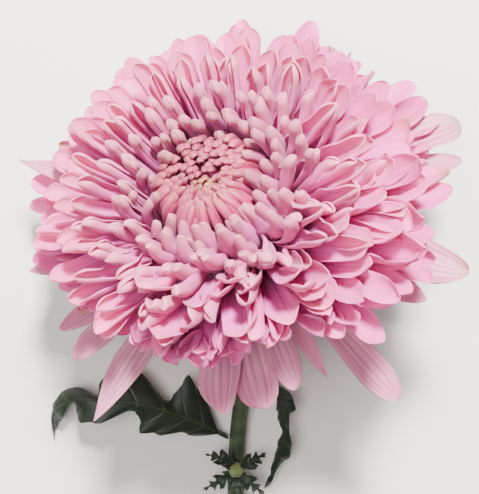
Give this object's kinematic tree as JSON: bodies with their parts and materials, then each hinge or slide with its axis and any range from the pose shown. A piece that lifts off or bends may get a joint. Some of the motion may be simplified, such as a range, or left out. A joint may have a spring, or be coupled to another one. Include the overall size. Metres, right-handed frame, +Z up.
{
  "type": "cut deco chrysanthemum",
  "caption": "Picked pink decorative chrysanthemum: a dense double bloom with hooded petals and a tight heart, on a short nodding stem with lobed leaves, lying down",
  "frame": {"origin": "centre of the footprint, on the surface that the flower lies on", "axes": "+Z up from the surface, +Y along the lying stem towards the bloom, +X to the right when looked down on with the bloom at the top"},
  "size_m": [0.1444, 0.2389, 0.0933],
  "materials": {
    "petal": "soft satin petal",
    "heart_floret": "soft matte floret",
    "bract": "matte leafy bract",
    "stem": "matte ribbed stalk",
    "leaf": "satin leaf"
  },
  "bodies": {
    "root": {"bloom": "petal", "heart": "heart_floret", "calyx": "bract", "stem": "stem", "leaf_left": "leaf", "leaf_right": "leaf", "leaf_tuft": "leaf"}
  },
  "joints": []
}
